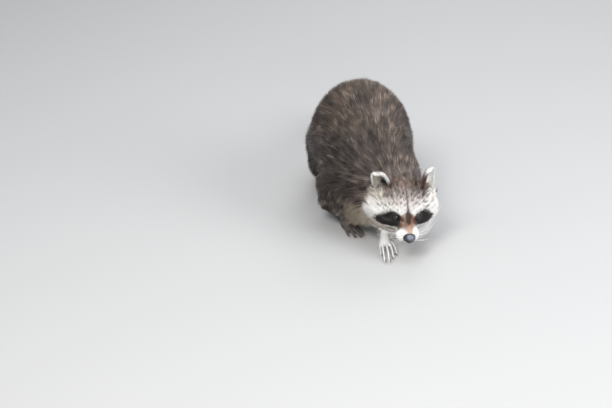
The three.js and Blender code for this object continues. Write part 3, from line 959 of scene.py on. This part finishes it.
def hair_lines(roots, surface):
    """Root and tip of each hair. Long hair follows the skin, short hair stands off its root."""
    count = len(roots.points)
    length = roots.coat[:, 1] * MM * rng.uniform(*LENGTHS, count)
    side = np.cross(roots.normals, roots.flow)
    sway = 0.22 * ripple(roots.points, 40 * MM, 21) + 0.12 * ripple(roots.points, 13 * MM, 22)
    sway = sway * long_share(roots) + rng.normal(0, STRAY, count)
    way = unit(roots.flow + side * sway[:, None])
    reach = roots.points + way * length[:, None]
    folded = smooth(0.75, 0.2, dot(nearest(surface, reach)[1], roots.normals))
    reach = mix(reach, roots.points, FOLD_SHORTER * folded)
    reach = mix(reach, reach[roots.leader], CLUMPING * long_share(roots))
    rise = roots.cover * rng.uniform(*RISES, count)
    rise *= rng.uniform(*CLUMP_RISES, count)[roots.leader]
    rise += roots.coat[:, 3] * MM * rng.random(count) + TIP_CLEAR
    standing = reach + roots.normals * (rise + STANDING * length)[:, None]
    below, facing, _ = nearest(surface, reach)
    lying = below + facing * rise[:, None]
    start = roots.points - roots.normals * ROOT_SUNK
    lines = np.stack([start, mix(standing, lying, long_share(roots))], axis=1)
    lines[..., 2] = np.maximum(lines[..., 2], FLOOR_CLEAR)
    return lines


HAIR_FACES = np.array(((0, 3, 1), (0, 1, 2), (0, 2, 3), (1, 3, 2)))
RING_OF = (0, 0, 1, 2)  # two corners at the root, the ridge and the tip
WIDTHS = (0.7, 1.3)  # narrowest and widest, as a share of the width for the place
SOFTNESS = 0.6  # how far the shading of a hair takes the direction of the skin under it
ROOT_ROUNDING = np.array((-0.7, 0.7, 0.0, 0.0))  # how far the shading turns sideways
OUT_OF_EAR = (0, -0.9, 0.5)
RUFF_BACKWARD = 0.1  # the most that the hair of the head faces backwards for the light


def hair_mesh(name, roots, lines, colours):
    """A closed blade of four faces on each line: a root edge, a ridge above its middle, a tip."""
    count = len(lines)
    start, tip = lines[:, 0], lines[:, 1]
    width = roots.coat[:, 2] * MM * rng.uniform(*WIDTHS, count)
    length = size_of(tip - start)
    way = unit(tip - start)
    side = unit(np.cross(way, roots.normals))
    top = np.cross(side, way)
    half = side * (width / 2)[:, None]
    ridge = mix(start, tip, 0.4) + top * (0.35 * width + 0.02 * length)[:, None]
    points = np.stack([start - half, start + half, ridge, tip], axis=1)
    triangles = (np.arange(count) * 4)[:, None, None] + HAIR_FACES[None]
    mesh = mesh_from(name, points.reshape(-1, 3), triangles.reshape(-1, 3))
    paint(mesh, colours[:, RING_OF].reshape(-1, 3))
    upward = unit(mix(top, lit_way(roots), SOFTNESS))
    normals = upward[:, None] + side[:, None] * ROOT_ROUNDING[None, :, None]
    add_field(mesh, "custom_normal", "FLOAT_VECTOR", "vector", unit(normals))
    return mesh


def lit_way(roots):
    """The way each hair faces for the light: out of the ear for those that grow in one."""
    way = roots.normals.copy()
    on_head = roots.zone == "head"
    local = way[on_head] @ HEAD_TURN
    local[:, 1] = np.minimum(local[:, 1], RUFF_BACKWARD)
    way[on_head] = local @ HEAD_TURN.T
    for side_name in SIDES:
        on_ear = roots.owner == f"ear_{side_name}"
        axes = HEAD_TURN @ ear_frame(side_name)[1]
        inside = smooth(0.6, 0.0, way[on_ear] @ axes[:, 1])
        way[on_ear] = mix(way[on_ear], axes @ np.array(OUT_OF_EAR), inside * 0.85)
    return unit(way)


def paint(mesh, colours):
    opaque = np.ones((len(colours), 1))
    add_field(mesh, "Paint", "FLOAT_COLOR", "color", np.hstack([np.clip(colours, 0, 1), opaque]))


RAGGED = 0.9 * MM  # how far hairs of one marking stray into the next
TAIL_GRIZZLE = 0.3
HEAD_GRIZZLE = 0.75
DARK_TIPPED = 0.5  # share of the body's hairs with a dark tip and a pale band below it
PALE_TIPPED = 0.22
CLUMP_ALIKE = 0.33  # how far the hairs of a clump draw the same tips


def grizzle_of(roots, base):
    """How much the hairs of one place differ: most on the body, least where the coat is white."""
    share = np.isin(roots.zone, ["neck", "trunk", "upper", "lower"]).astype(float)
    share[roots.zone == "tail"] = TAIL_GRIZZLE
    head = roots.zone == "head"
    share[head] = smooth(45, 95, roots.local[head, 1]) * HEAD_GRIZZLE
    return share * smooth(0.75, 0.4, base.mean(axis=1))


def fleck_share(roots):
    """Share of hairs with a dark tip on the brow and the crown, in small groups."""
    x, y, z = mirrored(roots.local)
    share = 0.1 + 0.36 * smooth(42, 76, y)
    share *= smooth(2, 20, z) * smooth(60, 42, x)
    share *= 1 - smooth(44, 50, roots.local[:, 0]) * smooth(76, 86, y)
    return share * (0.2 + 2.4 * smooth(0.1, 0.5, ripple(roots.points, 4 * MM, 31)))


def hair_colours(roots, lines):
    """Colour at the root, the ridge and the tip of each hair."""
    count = len(lines)
    seen = mix(roots.points, lines[:, 1], 0.6) + rng.normal(0, RAGGED, (count, 3))
    base = coat_tone(seen, roots.normals, roots.zone, roots.owner)
    brightness = base.mean(axis=1)
    uneven = mix(0.08, mix(0.42, 0.12, smooth(0.2, 0.6, brightness)), long_share(roots))
    clump = 1 + uneven * np.clip(rng.normal(0, 1, count), -2, 2)[roots.leader]
    clump *= rng.normal(1, 0.1, count)
    grizzle = grizzle_of(roots, base)
    draw = rng.random(count)
    draw = mix(draw, draw[roots.leader], CLUMP_ALIKE) + 0.14 * ripple(roots.points, 9 * MM, 32)
    dark_tip = (draw > 1 - DARK_TIPPED)[:, None]
    pale_tip = (draw < PALE_TIPPED)[:, None]
    tips = np.where(pale_tip, mix(base, GUARD_PALE, 0.8), base)
    tips = np.where(dark_tip, mix(base, GUARD_DARK, 0.8), tips)
    ridges = np.where(dark_tip, mix(base, GUARD_PALE, 0.45), mix(base, UNDERFUR, 0.6))
    flecked = (rng.random(count) < fleck_share(roots)) & (brightness > 0.2)
    flecked = (flecked & (roots.zone == "head"))[:, None]
    tips = np.where(flecked, FLECK, mix(base, tips, grizzle))
    ridges = np.where(flecked, mix(base, FLECK, 0.6), mix(base, ridges, grizzle * 0.8))
    return np.stack([base * 0.55, ridges, tips], axis=1) * clump[:, None, None]


# ------------------------ map for baking
PATCH = 0.003  # size of each hair's patch on the map
COARSE_KEPT = 0.05  # share of the skin's faces that are laid out on the map


def coarse_skin(skin):
    mesh = with_modifier(skin.mesh.copy(), "DECIMATE", ratio=COARSE_KEPT)
    return points_of(mesh), triangles_of(mesh)


def unwrap(points, triangles):
    """Corner places on a flat map for each triangle."""
    used, renamed = np.unique(triangles, return_inverse=True)
    mesh = mesh_from("unwrap", points[used], renamed.reshape(-1, 3))
    piece = new_object("unwrap", mesh)
    bpy.context.view_layer.objects.active = piece
    piece.select_set(True)
    bpy.ops.object.mode_set(mode="EDIT")
    bpy.ops.mesh.select_all(action="SELECT")
    bpy.ops.uv.smart_project(angle_limit=math.radians(66), island_margin=0.004)
    bpy.ops.object.mode_set(mode="OBJECT")
    flat = read(mesh.uv_layers.active.data, "uv", 2)
    bpy.data.objects.remove(piece)
    return flat.reshape(-1, 3, 2)


def places_on_map(roots, coarse):
    """Each root's place on an unwrap of the skin under its piece."""
    points, triangles = coarse
    places, _, face = nearest(tree_of(points, triangles), roots.points)
    used, renamed = np.unique(face, return_inverse=True)
    flat = unwrap(points, triangles[used])[renamed]
    a, b, c = [points[triangles[face, i]] for i in range(3)]
    whole = size_of(np.cross(b - a, c - a))
    share_b = size_of(np.cross(places - a, c - a)) / whole
    share_c = size_of(np.cross(b - a, places - a)) / whole
    shares = np.stack([1 - share_b - share_c, share_b, share_c], axis=1)
    return (flat * shares[..., None]).sum(axis=1)


def add_bake_map(mesh, centres):
    """A small patch for each hair, at the place of its root."""
    patch = np.array(((-0.5, -0.5), (0.5, -0.5), (0.0, 0.0), (0.0, 0.5))) * PATCH
    flat = np.clip(centres[:, None] + patch[None], 0, 1).reshape(-1, 2)
    corners = read(mesh.loops, "vertex_index", 1, np.int32)[:, 0]
    layer = mesh.uv_layers.new(name="OFBake")
    layer.data.foreach_set("uv", flat[corners].astype(np.float32).ravel())


# ------------------------ materials
FUR_ROUGHNESS = 0.62
FUR_WEAR = 0.14  # how far the roughness varies either way
FUR_WEAR_SCALE = 160


def add_node(shader, kind, **sockets):
    """A node beside the shader. Each socket gets a number, or a link from another node."""
    tree = shader.id_data
    node = tree.nodes.new(f"ShaderNode{kind}")
    for key, value in sockets.items():
        socket = node.inputs[key.replace("_", " ")]
        if isinstance(value, bpy.types.NodeSocket):
            tree.links.new(value, socket)
        else:
            socket.default_value = value
    return node


def pattern(shader, kind, scale):
    """A pattern fixed to the piece."""
    place = add_node(shader, "TexCoord").outputs["Object"]
    return add_node(shader, kind, Vector=place, Scale=scale).outputs[0]


def new_material(name, roughness, bump=None, wear=None, **sockets):
    """A material that takes its colour from the painted markings.

    A bump is (pattern, scale, strength, depth); wear is (scale, how far the roughness varies).
    """
    material = bpy.data.materials.new(name)
    material.use_nodes = True
    shader = material.node_tree.nodes["Principled BSDF"]
    link = material.node_tree.links.new
    shader.inputs["Roughness"].default_value = roughness
    for key, value in sockets.items():
        shader.inputs[key.replace("_", " ")].default_value = value
    marks = add_node(shader, "Attribute")
    marks.attribute_name = "Paint"
    link(marks.outputs["Color"], shader.inputs["Base Color"])
    if bump:
        kind, scale, strength, depth = bump
        height = pattern(shader, kind, scale)
        node = add_node(shader, "Bump", Strength=strength, Distance=depth, Height=height)
        link(node.outputs["Normal"], shader.inputs["Normal"])
    if wear:
        scale, swing = wear
        node = add_node(shader, "MapRange", Value=pattern(shader, "TexNoise", scale),
                        To_Min=roughness - swing, To_Max=roughness + swing)
        link(node.outputs["Result"], shader.inputs["Roughness"])
    return material


def fur_material(name):
    return new_material(name, FUR_ROUGHNESS, wear=(FUR_WEAR_SCALE, FUR_WEAR),
                        Specular_IOR_Level=0.35, Sheen_Weight=0.12, Sheen_Roughness=0.5)


def skin_material():
    return new_material("skin", 0.6, ("TexNoise", 900, 0.5, 0.4 * MM), Specular_IOR_Level=0.3)


def nose_material():
    return new_material("nose_leather", 0.3, ("TexVoronoi", 1500, 0.6, 0.25 * MM),
                        Coat_Weight=0.5, Coat_Roughness=0.22)


def eye_material():
    return new_material("eye", 0.06, Specular_IOR_Level=0.5, Coat_Weight=0.6,
                        Coat_Roughness=0.03)


def horn_material():
    return new_material("claw_horn", 0.35, ("TexNoise", 700, 0.3, 0.1 * MM))


def whisker_material():
    return new_material("whisker", 0.4)


# ------------------------ eyes and nose
def finish_piece(name, mesh, material, replaced=()):
    piece = new_object(name, mesh)
    mesh.materials.clear()
    mesh.materials.append(material)
    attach(piece, "root")
    if replaced:
        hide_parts(*replaced)


CORNEA = 0.06  # how far the front of the eye swells, as a share of its radius


def build_eye(side_name, material):
    """A ball with a slight cornea, a dark iris and a black pupil."""
    mirror = (SIDES[side_name], 1, 1)
    build = bmesh.new()
    bmesh.ops.create_uvsphere(build, u_segments=64, v_segments=40, radius=EYE_RADIUS)
    mesh = finished(build, f"eye_{side_name}")
    local = points_of(mesh)
    front = unit(local) @ (LID_AXIS * mirror)
    swell = 1 + CORNEA * smooth(0.72, 0.97, front)
    iris, pupil = smooth(0.66, 0.72, front), smooth(0.86, 0.90, front)
    paint(mesh, layered(EYE_BALL, (IRIS, iris), (PUPIL, pupil)))
    set_points(mesh, from_head(EYE * mirror + local * swell[:, None]))
    mesh.shade_smooth()
    finish_piece(f"eyeball_{side_name}", mesh, material, [f"eye_{side_name}"])


NOSE_VOXEL = 0.55 * MM
NOSE_SWELL = np.array((1.03, 1.12, 1.18))
NOSE_SHIFT = (0, -1.8, -1.4)
NOSTRIL = (4.9, -0.9, 2.3, 1.7)  # its place outwards and upwards, and its reach both ways
NOSTRIL_SLIT = (8.0, -1.9, 2.6, 1.0)
NOSTRIL_DEPTH = 3.6
CLEFT_DEPTH = 0.7


def dent(x, z, place_x, place_z, reach_x, reach_z):
    """1 at a place on the front of the nose and 0 away from it."""
    return np.exp(-(((x - place_x) / reach_x) ** 2 + ((z - place_z) / reach_z) ** 2))


def build_nose(material):
    """The nose's leather, with deep nostrils that curl outwards, a painted highlight on top and
    painted shade in the nostrils.
    """
    mesh = remeshed(joined(["nose"])[0], NOSE_VOXEL)
    local = in_head(Net(mesh).spread(points_of(mesh), 10))
    x, y, z = mirrored(local)
    hole = dent(x, z, *NOSTRIL)
    slit = dent(x, z, *NOSTRIL_SLIT)
    cleft = np.exp(-((x / 0.7) ** 2)) * smooth(1.0, -2.0, z)
    front = smooth(9, 5, y)
    local[:, 1] += (NOSTRIL_DEPTH * np.maximum(hole, 0.75 * slit) + CLEFT_DEPTH * cleft) * front
    local = NOSE_MIDDLE + (local - NOSE_MIDDLE) * NOSE_SWELL + NOSE_SHIFT
    set_points(mesh, from_head(local))
    # painted highlight over the top of the leather
    above = smooth(-3, 6, local[:, 2]) * smooth(10, 3, np.abs(local[:, 0]))
    # painted shade, near black, in the nostrils and their slits
    hollow_with_painted_shade = np.maximum(hole, slit) * front
    paint(mesh, layered(LEATHER, (LEATHER_PAINTED_HIGHLIGHT, above), (BLACK * 0.3, hollow_with_painted_shade)))
    mesh.shade_smooth()
    finish_piece("nose_leather", mesh, material, ["nose"])


# ------------------------ claws and whiskers
def tube(line, radii, sides):
    """Rings round a line, closed at both ends."""
    along = unit(np.gradient(line, axis=0))
    side = unit(np.cross(along, (0.13, 0.21, 0.97)))
    over = np.cross(side, along)
    turn = np.arange(sides) * 2 * math.pi / sides
    ring = side[:, None] * np.cos(turn)[None, :, None] + over[:, None] * np.sin(turn)[None, :, None]
    points = (line[:, None] + ring * radii[:, None, None]).reshape(-1, 3)
    points = np.concatenate([points, line[:1], line[-1:]])
    last_ring = (len(line) - 1) * sides
    first, last = last_ring + sides, last_ring + sides + 1
    faces = []
    for i in range(len(line) - 1):
        for j in range(sides):
            a, b = i * sides + j, i * sides + (j + 1) % sides
            faces += [(a, a + sides, b), (b, a + sides, b + sides)]
    for j in range(sides):
        k = (j + 1) % sides
        faces += [(first, j, k), (last, last_ring + k, last_ring + j)]
    return points, np.array(faces)


def gathered(name, parts, colours):
    """One mesh of several (points, faces) parts."""
    offsets = np.cumsum([0] + [len(points) for points, _ in parts])
    points = np.concatenate([points for points, _ in parts])
    faces = np.concatenate([faces + start for (_, faces), start in zip(parts, offsets)])
    mesh = mesh_from(name, points, faces)
    paint(mesh, np.concatenate(colours))
    return mesh


def bent_line(points, count):
    """A smooth line through three points."""
    start, through, end = [np.asarray(p, float) for p in points]
    control = 2 * through - (start + end) / 2
    t = np.linspace(0, 1, count)[:, None]
    return (1 - t) ** 2 * start + 2 * t * (1 - t) * control + t**2 * end


CLAW_RADIUS = 1.4 * MM
CLAW_ROOT_SUNK = 4.0 * MM  # how far a claw reaches back into its toe
CLAW_ROOT_RAISED = 0.4 * MM
CLAW_ARCH = 1.0 * MM
CLAW_RINGS = 10
CLAW_SIDES = 10


def build_claws(limb, material):
    """Tapered and arched claws in place of a paw's five solid ones."""
    parts, colours = [], []
    paw = middle(f"{limb}_paw")
    t = np.append(np.repeat(np.linspace(0, 1, CLAW_RINGS), CLAW_SIDES), (0, 1))
    for node in claws_of(limb):
        corners = points_of(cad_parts[node].data)
        far = size_of((corners - paw)[:, :2])
        tip = corners[np.argmax(far)]
        root = corners[np.argsort(far)[:5]].mean(axis=0)
        ahead = unit((tip - root) * (1, 1, 0))
        start = root - ahead * CLAW_ROOT_SUNK + (0, 0, CLAW_ROOT_RAISED)
        through = mix(root, tip, 0.35) + (0, 0, CLAW_ARCH)
        radii = CLAW_RADIUS * np.sqrt(np.linspace(1, 0.02, CLAW_RINGS))
        parts.append(tube(bent_line((start, through, tip), CLAW_RINGS), radii, CLAW_SIDES))
        colours.append(mix(CLAW_ROOT, CLAW_TIP, smooth(0.3, 0.95, t)))
    mesh = gathered(f"claws_{limb}", parts, colours)
    finish_piece(f"claws_{limb}", mesh, material, claws_of(limb))


WHISKER_RADIUS = 0.3 * MM
WHISKER_RINGS = 9
WHISKER_SIDES = 5
WHISKER_DROOP = {"left": 0, "right": 0.32}  # how much lower the whiskers of a side point
WHISKER_CURVE = (0, 0.25, 0.12)  # how far a whisker's tip bends back and up, by its length


def whisker_plan():
    """Place, direction and length of each whisker of the left side, in the head's frame."""
    plan = []
    for row in range(4):
        for column in range(3):
            place = (13 + 2.5 * column, 9 + 7 * column, 1 - 3.4 * row)
            way = (0.86, 0.12 + 0.22 * column, 0.3 - 0.24 * row)
            plan.append((place, way, 36 + 13 * column - 3 * row))
    for hair in range(3):
        plan.append(((14 + 5 * hair, 47 + 3 * hair, 28), (0.35 + 0.2 * hair, 0.1, 0.8), 26))
    return plan


def build_whiskers(surface, material):
    """Stiff hairs from rows on each side of the muzzle, and a few over each eye."""
    parts, colours = [], []
    for side_name, side in SIDES.items():
        mirror = (side, 1, 1)
        for place, way, length in whisker_plan():
            way = np.array(way) - (0, 0, WHISKER_DROOP[side_name])
            near = from_head(np.array(place) * mirror)
            root = np.array(surface.find_nearest(Vector(near))[0])
            way_out = HEAD_TURN @ unit(way * mirror + rng.normal(0, 0.07, 3))
            size = length * MM * rng.uniform(0.85, 1.15)
            end = root + way_out * size + HEAD_TURN @ np.array(WHISKER_CURVE) * size
            through = root + way_out * size * 0.5
            line = bent_line((root - way_out * MM, through, end), WHISKER_RINGS)
            line[:, 2] = np.maximum(line[:, 2], 2 * MM)
            radii = WHISKER_RADIUS * np.linspace(1, 0.12, WHISKER_RINGS)
            parts.append(tube(line, radii, WHISKER_SIDES))
            colours.append(np.tile(WHITE, (len(parts[-1][0]), 1)))
    finish_piece("whiskers", gathered("whiskers", parts, colours), material)


# ------------------------ the animal
SLOTS = {"coat_face": "face_fur", "coat_cheek": "face_fur", "coat_ear": "ear_fur",
         "coat_tail": "tail_fur", "coat_fore_paws": "paw_fur", "coat_hind_paws": "paw_fur"}
OTHER_SLOT = "body_fur"


def slot_of(name):
    return next((slot for start, slot in SLOTS.items() if name.startswith(start)), OTHER_SLOT)


def build_coat(skin, surface):
    fur = {slot: fur_material(slot) for slot in (OTHER_SLOT, *dict.fromkeys(SLOTS.values()))}
    roots = scatter(skin)
    names = piece_names(roots)
    coarse = coarse_skin(skin)
    for name in sorted(set(names.tolist())):
        own = picked(roots, names == name)
        own.leader = leaders_of(own)
        lines = hair_lines(own, surface)
        mesh = hair_mesh(name, own, lines, hair_colours(own, lines))
        add_bake_map(mesh, places_on_map(own, coarse))
        slot = slot_of(name)
        finish_piece(name, mesh, fur[slot])
        print(name, len(mesh.polygons), "triangles")


def build_animal():
    skin = build_skin()
    surface = tree_of(skin.points, skin.triangles)
    paint(skin.mesh, skin_tone(skin))
    skin.mesh.shade_smooth()
    finish_piece("skin", skin.mesh, skin_material(), FLESH)
    print("skin", len(skin.triangles), "triangles")
    build_coat(skin, surface)
    eye = eye_material()
    for side_name in SIDES:
        build_eye(side_name, eye)
    build_nose(nose_material())
    horn = horn_material()
    for limb in LIMBS:
        build_claws(limb, horn)
    build_whiskers(surface, whisker_material())


# ------------------------ room, lights and camera
FLOOR_HALF = 8
FLOOR_COLOUR = (0.38, 0.376, 0.368, 1)
FLOOR_ROUGHNESS = 0.9
ROOM_COLOUR = (0.86, 0.9, 1.0, 1)
ROOM_STRENGTH = 0.55
# Each lamp's name, place, size, watts and colour.
LAMPS = (
    ("key", (-1.1, -1.5, 2.3), 1.1, 60, (1.0, 0.98, 0.95)),
    ("fill", (1.8, -1.2, 1.3), 1.4, 48, (0.97, 0.98, 1.0)),
    ("back", (0.8, 1.9, 1.9), 1.2, 26, (1, 1, 1)),
    ("sky", (0.1, -0.2, 2.4), 1.5, 24, (0.9, 0.95, 1.0)),
    ("low", (-0.1, -1.9, 0.5), 0.7, 9, (1, 1, 1)),
)


def build_room():
    build = bmesh.new()
    bmesh.ops.create_grid(build, x_segments=1, y_segments=1, size=FLOOR_HALF)
    floor = new_object("floor", finished(build, "floor"))
    material = bpy.data.materials.new("floor")
    material.use_nodes = True
    shader = material.node_tree.nodes["Principled BSDF"]
    shader.inputs["Base Color"].default_value = FLOOR_COLOUR
    shader.inputs["Roughness"].default_value = FLOOR_ROUGHNESS
    floor.data.materials.append(material)

    world = bpy.data.worlds.new("room")
    world.use_nodes = True
    background = world.node_tree.nodes["Background"]
    background.inputs["Color"].default_value = ROOM_COLOUR
    background.inputs["Strength"].default_value = ROOM_STRENGTH
    bpy.context.scene.world = world
    bpy.context.scene.view_settings.view_transform = "Standard"


def aimed(name, data, place, way):
    """A lamp or camera at a place, looking one way."""
    holder = new_object(name, data)
    holder.location = place
    holder.rotation_mode = "QUATERNION"
    holder.rotation_quaternion = way.to_track_quat("-Z", "Y")
    return holder


def build_lights():
    for name, place, size, watts, colour in LAMPS:
        light = bpy.data.lights.new(name, "AREA")
        light.size = size
        light.energy = watts
        light.color = colour
        aimed(name, light, place, Vector(NOSE_TIP) - Vector(place))


def build_camera():
    camera = bpy.data.cameras.new("camera")
    camera.sensor_width = SENSOR_WIDTH
    camera.lens = FOCAL_PIXELS / PHOTO_WIDTH * SENSOR_WIDTH
    camera.shift_x = (PHOTO_WIDTH / 2 - AXIS_PIXEL[0]) / PHOTO_WIDTH
    camera.shift_y = (AXIS_PIXEL[1] - PHOTO_HEIGHT / 2) / PHOTO_WIDTH
    back = Vector((math.sin(CAMERA_AZIMUTH) * math.cos(CAMERA_ELEVATION),
                   -math.cos(CAMERA_AZIMUTH) * math.cos(CAMERA_ELEVATION),
                   math.sin(CAMERA_ELEVATION)))
    place = Vector(NOSE_TIP) + AIM_FROM_NOSE + back * CAMERA_DISTANCE
    bpy.context.scene.camera = aimed("camera", camera, place, -back)


build_camera()
build_room()
build_lights()
build_animal()
